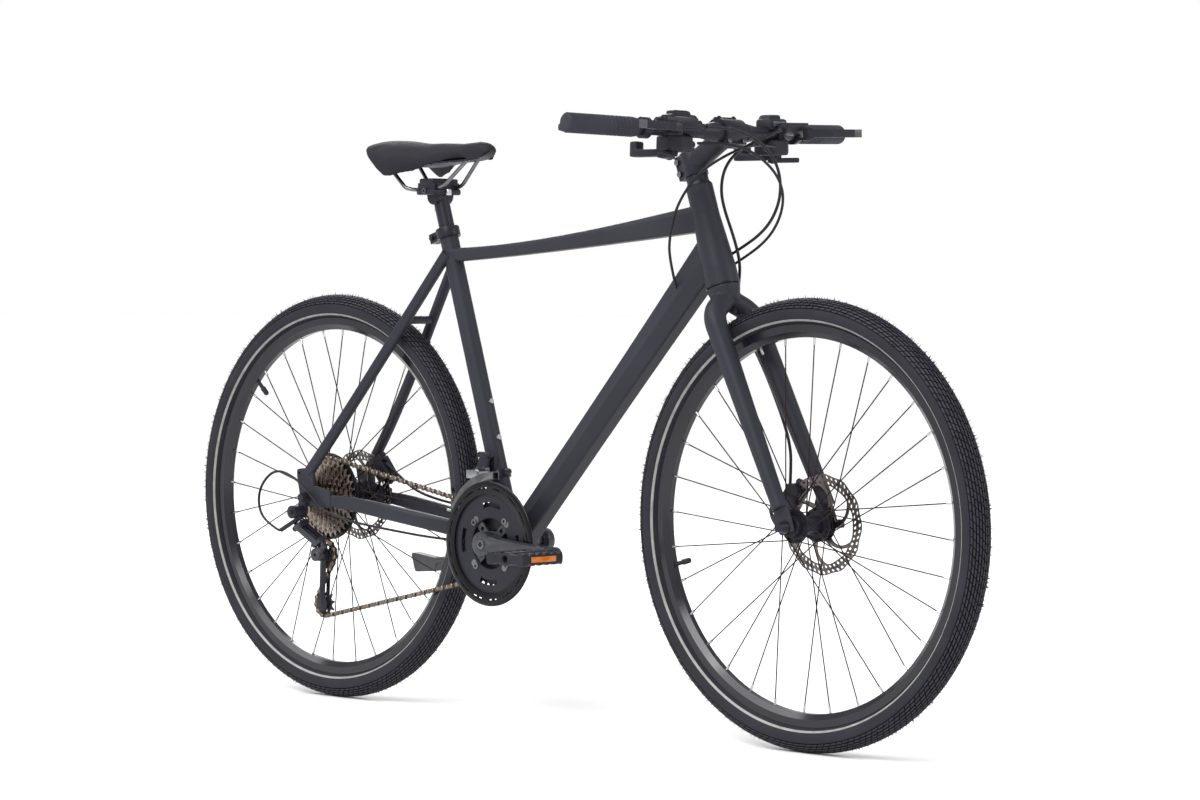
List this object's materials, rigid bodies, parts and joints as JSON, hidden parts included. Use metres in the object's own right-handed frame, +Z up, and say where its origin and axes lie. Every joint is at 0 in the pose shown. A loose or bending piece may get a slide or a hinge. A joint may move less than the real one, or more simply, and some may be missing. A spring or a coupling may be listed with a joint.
{
  "type": "hybrid bicycle",
  "caption": "City hybrid bicycle with straight bar, rigid fork, disc brakes, derailleur gears, chain guard, kickstand and padded saddle.",
  "frame": {"origin": "on the ground under the bicycle, midway between the two axles", "axes": "+X forward, +Y to the rider's left, +Z up"},
  "size_m": [1.8269, 0.6516, 1.0102],
  "materials": {
    "frame_paint": "matte black paint",
    "black_alloy": "satin black paint",
    "rim_black": "gloss black paint",
    "silver_steel": "brushed",
    "dark_steel": "dark",
    "chain_steel": "bronze tint",
    "cog_steel": "brown nickel",
    "crank_grey": "gunmetal",
    "alloy_grey": "satin",
    "plastic_black": "textured",
    "hose_black": "smooth",
    "grip_rubber": "ribbed",
    "tyre_black": "fine tread",
    "saddle_skin": "matte black",
    "clear_disc": "smoked"
  },
  "bodies": {
    "frame": {"front_triangle": "frame_paint", "rear_triangle": "frame_paint", "seat_clamp": "black_alloy", "frame_bearings": "black_alloy", "rear_brake_caliper": "black_alloy", "front_derailleur_clamp": "alloy_grey", "chain": "chain_steel", "frame_fittings": "silver_steel", "control_cables": "hose_black", "rear_axle": "dark_steel", "derailleur_bracket": "black_alloy"},
    "steering": {"fork": "frame_paint", "stem": "black_alloy", "stem_hardware": "black_alloy", "handlebar": "black_alloy", "grips": "grip_rubber", "brake_lever_bodies": "black_alloy", "shifter_bodies": "plastic_black", "front_brake_caliper": "black_alloy", "front_brake_hose": "hose_black", "front_axle": "dark_steel"},
    "front_wheel": {"front_tyre": "tyre_black", "front_rim": "rim_black", "front_spokes": "dark_steel", "front_hub": "black_alloy", "front_rotor": "silver_steel"},
    "rear_wheel": {"rear_tyre": "tyre_black", "rear_rim": "rim_black", "rear_spokes": "dark_steel", "rear_hub": "black_alloy", "rear_rotor": "silver_steel", "spoke_protector": "clear_disc"},
    "cassette": {"cassette": "cog_steel"},
    "crank": {"crank_spindle": "dark_steel", "crank_arms": "crank_grey", "chainrings": "dark_steel", "chain_guard": "plastic_black"},
    "right_pedal": {"right_pedal": "plastic_black"},
    "left_pedal": {"left_pedal": "plastic_black"},
    "seat": {"seatpost": "black_alloy", "saddle_rails": "silver_steel", "saddle_base": "plastic_black", "saddle_cover": "saddle_skin"},
    "left_brake_lever": {"left_brake_lever": "black_alloy"},
    "right_brake_lever": {"right_brake_lever": "black_alloy"},
    "left_shift_lever": {"left_shift_lever": "plastic_black"},
    "right_shift_lever": {"right_shift_lever": "plastic_black"},
    "left_release_lever": {"left_release_lever": "plastic_black"},
    "right_release_lever": {"right_release_lever": "plastic_black"},
    "front_derailleur_link": {"front_derailleur_link": "alloy_grey"},
    "front_derailleur_cage": {"front_derailleur_cage": "alloy_grey"},
    "derailleur_outer_link": {"derailleur_outer_link": "black_alloy"},
    "derailleur_inner_link": {"derailleur_inner_link": "black_alloy"},
    "derailleur_knuckle": {"derailleur_knuckle": "black_alloy"},
    "derailleur_cage": {"derailleur_cage": "dark_steel"},
    "guide_pulley": {"guide_pulley": "plastic_black"},
    "tension_pulley": {"tension_pulley": "plastic_black"},
    "front_skewer_lever": {"front_skewer_lever": "black_alloy"},
    "rear_skewer_lever": {"rear_skewer_lever": "black_alloy"},
    "kickstand": {"kickstand": "alloy_grey"}
  },
  "joints": [
    {"name": "steering", "type": "hinge", "parent": "frame", "child": "steering", "pos_m": [0.50138, 0, 0.3401], "axis": [-0.314, 0, 0.9494], "range_deg": [-65, 65], "deforming": ["control_cables"]},
    {"name": "front_wheel_spin", "type": "hinge", "parent": "steering", "child": "front_wheel", "pos_m": [0.5555, 0, 0.358], "axis": [0, 1, 0], "continuous": true},
    {"name": "rear_wheel_spin", "type": "hinge", "parent": "frame", "child": "rear_wheel", "pos_m": [-0.5555, 0, 0.358], "axis": [0, 1, 0], "continuous": true},
    {"name": "crank_spin", "type": "hinge", "parent": "frame", "child": "crank", "pos_m": [-0.10851, 0, 0.298], "axis": [0, 1, 0], "continuous": true, "deforming": ["chain"]},
    {"name": "cassette_spin", "type": "hinge", "parent": "frame", "child": "cassette", "pos_m": [-0.5555, 0, 0.358], "axis": [0, 1, 0], "continuous": true},
    {"name": "right_pedal_spin", "type": "hinge", "parent": "crank", "child": "right_pedal", "pos_m": [0.06117, 0, 0.28762], "axis": [0, 1, 0], "continuous": true},
    {"name": "left_pedal_spin", "type": "hinge", "parent": "crank", "child": "left_pedal", "pos_m": [-0.27819, 0, 0.30838], "axis": [0, 1, 0], "continuous": true},
    {"name": "seatpost_slide", "type": "slide", "parent": "frame", "child": "seat", "axis": [-0.2974, 0, 0.9548], "range_m": [-0.03, 0.13]},
    {"name": "left_brake_pull", "type": "hinge", "parent": "steering", "child": "left_brake_lever", "pos_m": [0.41418, 0.15354, 0.98107], "axis": [0.0057, -0.0291, 0.9996], "range_deg": [0, 18], "stiffness_Nm_per_rad": 0.6, "springref_deg": -20.05},
    {"name": "right_brake_pull", "type": "hinge", "parent": "steering", "child": "right_brake_lever", "pos_m": [0.41418, -0.15354, 0.98107], "axis": [-0.0057, -0.0291, -0.9996], "range_deg": [0, 18], "stiffness_Nm_per_rad": 0.6, "springref_deg": -20.05},
    {"name": "left_shift_push", "type": "hinge", "parent": "steering", "child": "left_shift_lever", "pos_m": [0.36793, 0.12149, 0.98039], "axis": [-0.0057, 0.0291, -0.9996], "range_deg": [0, 22], "stiffness_Nm_per_rad": 0.15, "springref_deg": -17.19},
    {"name": "right_shift_push", "type": "hinge", "parent": "steering", "child": "right_shift_lever", "pos_m": [0.36793, -0.12149, 0.98039], "axis": [0.0057, 0.0291, 0.9996], "range_deg": [0, 22], "stiffness_Nm_per_rad": 0.15, "springref_deg": -17.19},
    {"name": "left_release_pull", "type": "hinge", "parent": "steering", "child": "left_release_lever", "pos_m": [0.36793, 0.12149, 0.98039], "axis": [0.0057, -0.0291, 0.9996], "range_deg": [0, 12], "stiffness_Nm_per_rad": 0.15, "springref_deg": -17.19},
    {"name": "right_release_pull", "type": "hinge", "parent": "steering", "child": "right_release_lever", "pos_m": [0.36793, -0.12149, 0.98039], "axis": [-0.0057, -0.0291, -0.9996], "range_deg": [0, 12], "stiffness_Nm_per_rad": 0.15, "springref_deg": -17.19},
    {"name": "front_shift", "type": "hinge", "parent": "frame", "child": "front_derailleur_link", "pos_m": [-0.14991, -0.028, 0.44593], "axis": [-1, 0, 0], "range_deg": [0, 34]},
    {"name": "front_cage_level", "type": "hinge", "parent": "front_derailleur_link", "child": "front_derailleur_cage", "pos_m": [-0.14991, -0.034, 0.42093], "axis": [-1, 0, 0], "range_deg": [-34, 0]},
    {"name": "rear_shift", "type": "hinge", "parent": "frame", "child": "derailleur_outer_link", "pos_m": [-0.562, -0.09, 0.307], "axis": [-0.8496, 0, -0.5274], "range_deg": [0, 48.2]},
    {"name": "inner_link_turn", "type": "hinge", "parent": "frame", "child": "derailleur_inner_link", "pos_m": [-0.5638, -0.07746, 0.30991], "axis": [-0.8496, 0, -0.5274], "range_deg": [0, 48.2]},
    {"name": "knuckle_level", "type": "hinge", "parent": "derailleur_outer_link", "child": "derailleur_knuckle", "pos_m": [-0.544, -0.062, 0.278], "axis": [-0.8496, 0, -0.5274], "range_deg": [-48.2, 0]},
    {"name": "cage_swing", "type": "hinge", "parent": "derailleur_knuckle", "child": "derailleur_cage", "pos_m": [-0.558, 0, 0.255], "axis": [0, 1, 0], "range_deg": [-38, 22]},
    {"name": "guide_pulley_spin", "type": "hinge", "parent": "derailleur_cage", "child": "guide_pulley", "pos_m": [-0.558, 0, 0.255], "axis": [0, 1, 0], "continuous": true},
    {"name": "tension_pulley_spin", "type": "hinge", "parent": "derailleur_cage", "child": "tension_pulley", "pos_m": [-0.56244, 0, 0.16711], "axis": [0, 1, 0], "continuous": true},
    {"name": "front_skewer_open", "type": "hinge", "parent": "steering", "child": "front_skewer_lever", "pos_m": [0.5555, 0.0737, 0.358], "axis": [0, 0, -1], "range_deg": [0, 160]},
    {"name": "rear_skewer_open", "type": "hinge", "parent": "frame", "child": "rear_skewer_lever", "pos_m": [-0.5555, 0.0917, 0.358], "axis": [0, 0, -1], "range_deg": [0, 160]},
    {"name": "kickstand_swing", "type": "hinge", "parent": "frame", "child": "kickstand", "pos_m": [-0.172, 0.03, 0.268], "axis": [0.1919, -0.9593, -0.2072], "range_deg": [0, 98]}
  ],
  "couplings": [
    {"joint": "cassette_spin", "follows": "crank_spin", "ratio": 0.76471},
    {"joint": "guide_pulley_spin", "follows": "crank_spin", "ratio": -2.3636},
    {"joint": "tension_pulley_spin", "follows": "crank_spin", "ratio": 2.3636},
    {"joint": "front_cage_level", "follows": "front_shift", "ratio": -1},
    {"joint": "inner_link_turn", "follows": "rear_shift", "ratio": 1},
    {"joint": "knuckle_level", "follows": "rear_shift", "ratio": -1}
  ]
}
